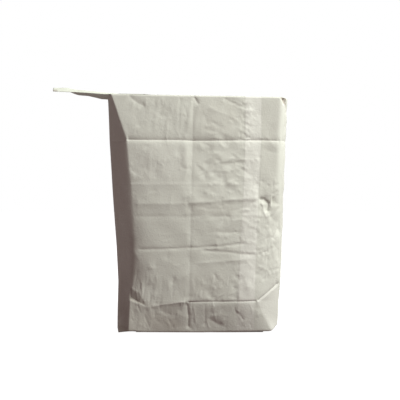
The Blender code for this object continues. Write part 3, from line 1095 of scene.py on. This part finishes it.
    def cap(self, ring: np.ndarray) -> tuple[np.ndarray, np.ndarray]:
        """Fill a ring with a grid of points.

        Args:
            ring: The points of the ring.

        Returns:
            The inner points, and the grid of point numbers where the ring's own come first.
        """
        wide, deep = self.back_columns, self.wall_columns
        front = self.front_columns
        number = np.full((wide + 1, deep + 1), -1)
        number[:, 0] = np.arange(wide + 1) * (front // wide)
        number[:, deep] = front + deep + wide - np.arange(wide + 1)
        number[wide, :] = front + np.arange(deep + 1)
        number[0, :] = (len(ring) - np.arange(deep + 1)) % len(ring)
        u = np.linspace(0.0, 1.0, wide + 1)[1:-1, None, None]
        v = np.linspace(0.0, 1.0, deep + 1)[None, 1:-1, None]
        near, far = ring[number[1:-1, 0]][:, None], ring[number[1:-1, deep]][:, None]
        left, right = ring[number[0, 1:-1]][None], ring[number[wide, 1:-1]][None]
        corner = ring[number[[0, wide, 0, wide], [0, 0, deep, deep]]]
        flat = ((1 - u) * (1 - v) * corner[0] + u * (1 - v) * corner[1]
                + (1 - u) * v * corner[2] + u * v * corner[3])
        inner = (1 - v) * near + v * far + (1 - u) * left + u * right - flat
        number[1:-1, 1:-1] = len(ring) + np.arange(inner.shape[0] * inner.shape[1]).reshape(inner.shape[:2])
        return inner.reshape(-1, 3), number

    def build(self) -> bpy.types.Object:
        """Make the body.

        Returns:
            The piece.
        """
        rows, tones = self.skin_rows()
        levels, columns = rows.shape[:2]
        here = np.arange(levels * columns).reshape(levels, columns)
        after = np.roll(here, -1, axis=1)
        walls = np.stack([here[:-1], after[:-1], after[1:], here[1:]], axis=2).reshape(-1, 4)
        faces = walls.tolist()
        points = [rows.reshape(-1, 3)]
        count = levels * columns
        for ring, first, flip in ((rows[0], 0, True), (rows[-1], (levels - 1) * columns, False)):
            inner, number = self.cap(ring)
            number = np.where(number < columns, number + first, number - columns + count)
            quads = np.stack([number[:-1, :-1], number[1:, :-1], number[1:, 1:], number[:-1, 1:]], axis=2)
            edge = [[quad[0], quad[0] + 1] + quad[1:] for quad in quads[:, 0].tolist()]
            filled = edge + quads[:, 1:].reshape(-1, 4).tolist()
            faces += [face[::-1] for face in filled] if flip else filled
            points.append(inner)
            count += len(inner)
        everything = np.concatenate(points)
        padding = np.zeros(len(everything) - levels * columns)
        return PieceMaker.make("sack_body", everything, faces, self.finish.material(), "sack_kraft",
                               "sack_tube", {name: np.concatenate([tone.ravel(), padding])
                                             for name, tone in tones.items()})


@dataclass
class FillingSleeve:
    """The flat paper tube through which the sack is filled."""

    finish: KraftFinish
    body: SackBody
    inner_x: float = -0.150
    leaves_x: float = -0.236
    near_y: float = -0.0500
    far_y: float = 0.0400
    near_tip_x: float = -0.3858
    far_tip_x: float = -0.4040
    near_rise: Line = ((0.0, -0.0010), (0.10, -0.0018), (0.50, 0.0015), (1.0, 0.0040))
    far_rise: Line = ((0.0, 0.0), (0.10, -0.0036), (0.22, -0.0026), (0.30, 0.0005), (0.44, 0.0056),
                      (0.59, 0.0070), (0.66, 0.0099), (0.75, 0.0160), (1.0, 0.0240))
    crown: Line = ((0.0, 0.0030), (0.10, 0.0080), (0.50, 0.0088), (0.78, 0.0085), (1.0, 0.0040))
    ply: float = 0.00025
    pressed: float = 0.0004
    gape: float = 0.0032
    # The sleeve's darker tone at its mouth's near edge is painted shadow.
    mouth_shadow_from: float = 0.90
    mouth_shadow_across: float = 0.16
    steps: int = 90
    inner_steps: int = 26
    across: int = 60

    def centre(self, part: np.ndarray, w: np.ndarray) -> np.ndarray:
        """Underside of the sleeve.

        Args:
            part: 0 where it leaves the top end, 1 at its mouth, below 0 inside the end.
            w: 0 at the near edge, 1 at the far edge.

        Returns:
            Points.
        """
        free = np.clip(part, 0.0, 1.0)
        tip_x = self.near_tip_x + (self.far_tip_x - self.near_tip_x) * w
        x = np.where(part < 0.0, self.leaves_x - part * (self.inner_x - self.leaves_x),
                     self.leaves_x + (tip_x - self.leaves_x) * free)
        y = self.near_y + (self.far_y - self.near_y) * w
        near = SackBody.along(self.near_rise, free)
        far = SackBody.along(self.far_rise, free)
        crown = SackBody.along(self.crown, free)
        settle = smooth_step(1.0 + part / 0.35)
        rise = near * (1.0 - w) + far * w + crown * np.sin(np.pi * np.clip(w, 0.0, 1.0)) ** 0.7
        wave = 0.0006 * np.sin(9.0 * w + 5.0 * free) * free
        z = self.body.top_plane(x) + 0.0004 + (rise + wave) * settle
        return np.stack([x, y + np.zeros_like(x), z], axis=-1)

    def thickness(self, part: np.ndarray, w: np.ndarray) -> np.ndarray:
        """Gap between the underside and the upper side of the pressed tube."""
        free = smooth_step(1.0 + part / 0.35)
        edge = np.clip(np.sin(np.pi * w), 0.0, 1.0) ** 0.45
        puff = self.pressed + (0.0010 - self.pressed + (self.gape - 0.0010)
                               * np.exp(-((w - 0.10) / 0.16) ** 2)) * free
        return edge * puff + 2.0 * self.ply

    def ring(self, part: float, shrink: float) -> np.ndarray:
        """One closed cross-section of the tube, drawn in by a distance for its inner skin."""
        w = 0.5 - 0.5 * np.cos(np.pi * np.linspace(0.0, 1.0, self.across))
        parts = np.full_like(w, part)
        under = self.centre(parts, w)
        upper = under.copy()
        upper[:, 2] += self.thickness(parts, w)
        under[:, 2] += shrink
        upper[:, 2] -= shrink
        return np.concatenate([under, upper[::-1][1:-1]])

    def build(self) -> bpy.types.Object:
        """Make the sleeve.

        Returns:
            The piece.
        """
        outer = [self.ring(part, 0.0) for part in np.linspace(-1.0, 0.0, self.inner_steps)[:-1]]
        outer += [self.ring(part, 0.0) for part in np.linspace(0.0, 1.0, self.steps)]
        inner = [self.ring(part, self.ply) for part in np.linspace(0.999, 0.55, self.steps // 2)]
        rings = np.array(outer + inner)
        levels, columns = rings.shape[:2]
        here = np.arange(levels * columns).reshape(levels, columns)
        after = np.roll(here, -1, axis=1)
        quads = np.stack([here[:-1], here[1:], after[1:], after[:-1]], axis=2).reshape(-1, 4)
        faces = quads.tolist() + [here[0].tolist(), here[-1][::-1].tolist()]
        points = rings.reshape(-1, 3)
        rub_and_highlight = np.zeros((levels, columns))
        rub_and_highlight[:, 0] = rub_and_highlight[:, self.across - 1] = 0.7
        outside = np.concatenate([np.linspace(-1.0, 0.0, self.inner_steps)[:-1], np.linspace(0.0, 1.0, self.steps)])
        part = np.concatenate([outside, np.full(levels - len(outside), 1.0)])[:, None]
        # Painted shadow along the near edge at the mouth, in the sleeve's darker tone.
        over = 1.0 - (rings[:, :, 1] - self.near_y) / ((self.far_y - self.near_y) * self.mouth_shadow_across)
        mouth_shadow = smooth_step((part - self.mouth_shadow_from) / 0.05) * smooth_step(over)
        return PieceMaker.make("filling_sleeve", points, faces, self.finish.material(), "sleeve_kraft",
                               "valve_sleeve", {FOLD_RUB_AND_HIGHLIGHT: (rub_and_highlight * (1.0 - mouth_shadow)).ravel(), SOIL_AND_SHADE: mouth_shadow.ravel()})


@dataclass
class CoverSheet:
    """A paper sheet pasted over one folded end."""

    finish: KraftFinish
    name: str
    replaced: str
    low_x: float
    high_x: float
    half_width: float
    thickness: float = 0.0004
    columns: int = 130
    rows: int = 32
    seed: int = 3

    def level(self, x: np.ndarray, y: np.ndarray) -> np.ndarray:
        """Height of the sheet's underside."""
        raise NotImplementedError

    def grid(self) -> tuple[np.ndarray, np.ndarray]:
        """Places of the sheet's points, with a slightly uneven cut edge."""
        draw = np.random.default_rng(self.seed)
        u = np.linspace(0.0, 1.0, self.columns)
        v = np.linspace(-1.0, 1.0, self.rows)
        phases = draw.uniform(0.0, math.tau, 6)
        edge = 0.0006 * sum(np.sin((3 + 4 * k) * u + phases[k]) for k in range(3))
        x, side = np.meshgrid(u, v, indexing="ij")
        y = side * (self.half_width + edge[:, None])
        ends = 0.0008 * np.sin(4.0 * side + phases[3])
        return self.low_x + (self.high_x - self.low_x) * x + ends, y

    def build(self) -> bpy.types.Object:
        """Make the sheet.

        Returns:
            The piece.
        """
        x, y = self.grid()
        under = np.stack([x, y, self.level(x, y)], axis=2)
        upper = under + np.array((0.0, 0.0, self.thickness))
        count = self.columns * self.rows
        low = np.arange(count).reshape(self.columns, self.rows)
        high = low + count
        faces = []
        for grid, flip in ((high, False), (low, True)):
            quads = np.stack([grid[:-1, :-1], grid[1:, :-1], grid[1:, 1:], grid[:-1, 1:]], axis=2)
            quads = quads.reshape(-1, 4)
            faces += (quads[:, ::-1] if flip else quads).tolist()
        rim = np.concatenate([low[:, 0], low[-1, 1:], low[::-1, -1][1:], low[0, ::-1][1:-1]])
        for here, after in zip(rim, np.roll(rim, -1)):
            faces.append([int(here), int(after), int(after) + count, int(here) + count])
        points = np.concatenate([under.reshape(-1, 3), upper.reshape(-1, 3)])
        return PieceMaker.make(self.name, points, faces, self.finish.material(), "patch_kraft", self.replaced)


@dataclass
class TopCoverSheet(CoverSheet):
    """The sheet over the top end, which also covers the sleeve's pasted part."""

    body: SackBody | None = None
    sleeve_end: float = -0.149
    sleeve_step: float = 0.0012
    ramp: float = 0.020

    def level(self, x: np.ndarray, y: np.ndarray) -> np.ndarray:
        """Height of the sheet's underside."""
        over = smooth_step((self.sleeve_end + self.ramp - x) / self.ramp)
        return self.body.top_plane(x) + 0.0004 + self.sleeve_step * over


@dataclass
class BaseCoverSheet(CoverSheet):
    """The sheet under the base, flat on the floor."""

    def level(self, x: np.ndarray, y: np.ndarray) -> np.ndarray:
        """Height of the sheet's underside."""
        return np.zeros_like(x)


@dataclass(frozen=True)
class Lamp:
    """A soft square lamp that points at the middle of the sack."""

    name: str
    place: tuple[float, float, float]
    size: float
    strength: float
    tint: Colour = (1.0, 1.0, 1.0)
    aim: tuple[float, float, float] = (0.0, 0.0, 0.32)

    def hang(self) -> None:
        """Add the lamp; its power follows from how bright it makes a white sheet facing it."""
        reach = Vector(self.aim) - Vector(self.place)
        light = bpy.data.lights.new(self.name, "AREA")
        light.size = self.size
        light.color = self.tint
        light.energy = self.strength * (math.pi * reach.length) ** 2
        lamp = bpy.data.objects.new(self.name, light)
        lamp.location = self.place
        lamp.rotation_euler = reach.to_track_quat("-Z", "Y").to_euler()
        bpy.context.scene.collection.objects.link(lamp)


@dataclass
class Studio:
    """Floor, lamps, backdrop light and camera."""

    camera_place: tuple[float, float, float] = (0.0, -1.633, 0.4084)
    horizon_drop: float = 20.0 / 600.0
    frame_half_angle: float = math.atan(200.0 / 600.0)
    lamps: tuple[Lamp, ...] = (
        Lamp("key", (1.66, -1.08, 2.42), 0.8, 1.76, (0.98, 1.0, 1.02)),
        Lamp("behind", (0.9, 2.2, 1.3), 1.2, 0.55),
    )
    fill_tint: Colour = (1.0, 0.74, 0.78)
    fill_strength: float = 0.23
    backdrop: float = 1.0
    floor_size: float = 12.0

    def floor(self) -> None:
        """Lay the pale floor, which throws no light back onto the sack."""
        half = self.floor_size / 2.0
        mesh = bpy.data.meshes.new("studio_floor")
        mesh.from_pydata([(-half, -half, 0.0), (half, -half, 0.0), (half, half, 0.0), (-half, half, 0.0)],
                         [], [(0, 1, 2, 3)])
        mesh.materials.append(FloorFinish().material())
        plane = bpy.data.objects.new("studio_floor", mesh)
        plane.visible_diffuse = False
        bpy.context.scene.collection.objects.link(plane)

    def world(self) -> None:
        """Show a pale backdrop, and light the sack only a little from it."""
        world = bpy.data.worlds.new("studio")
        world.use_nodes = True
        graph = NodeGraph(world.node_tree)
        seen = graph.add("ShaderNodeLightPath", output="Is Camera Ray")
        backdrop = graph.node("ShaderNodeBackground", {}, {"Color": (1.0, 1.0, 1.0, 1.0),
                                                           "Strength": self.backdrop})
        fill = graph.node("ShaderNodeBackground", {},
                          {"Color": (*self.fill_tint, 1.0), "Strength": self.fill_strength})
        chosen = graph.node("ShaderNodeMixShader", {},
                            {0: seen, 1: Signal(graph, fill.outputs[0]), 2: Signal(graph, backdrop.outputs[0])})
        graph.node("ShaderNodeOutputWorld", {}, {"Surface": Signal(graph, chosen.outputs[0])})
        bpy.context.scene.world = world

    def camera(self) -> None:
        """Set the camera at the photograph's angle."""
        data = bpy.data.cameras.new("camera")
        data.sensor_fit = "HORIZONTAL"
        data.angle = 2.0 * self.frame_half_angle
        camera = bpy.data.objects.new("camera", data)
        camera.location = self.camera_place
        camera.rotation_euler = (math.pi / 2.0 - math.atan(self.horizon_drop), 0.0, 0.0)
        bpy.context.scene.collection.objects.link(camera)
        bpy.context.scene.camera = camera

    def build(self) -> None:
        """Set up the whole studio."""
        self.floor()
        for lamp in self.lamps:
            lamp.hang()
        self.world()
        self.camera()
        view = bpy.context.scene.view_settings
        view.view_transform = "Standard"
        view.look = "None"


def main() -> None:
    """Build the sack, its sleeve, its cover sheets and the studio."""
    logging.basicConfig(level=logging.INFO)
    sack_paper = KraftFinish("sack_kraft_paper", (0.575, 0.59, 0.50), (0.525, 0.535, 0.45),
                             (0.69, 0.70, 0.61))
    sleeve_paper = KraftFinish("sleeve_kraft_paper", (0.63, 0.67, 0.555), (0.57, 0.605, 0.495),
                               (0.70, 0.70, 0.64))
    patch_paper = KraftFinish("patch_kraft_paper", (0.55, 0.555, 0.47), (0.48, 0.485, 0.405),
                              (0.63, 0.63, 0.545))
    body = SackBody(sack_paper)
    body.build()
    FillingSleeve(sleeve_paper, body).build()
    TopCoverSheet(patch_paper, "top_cover_sheet", "top_end_patch", -0.214, 0.203, 0.045,
                  body=body).build()
    BaseCoverSheet(patch_paper, "base_cover_sheet", "bottom_end_patch", -0.172, 0.170, 0.034,
                   seed=4).build()
    Studio().build()


if __name__ == "__main__":
    main()
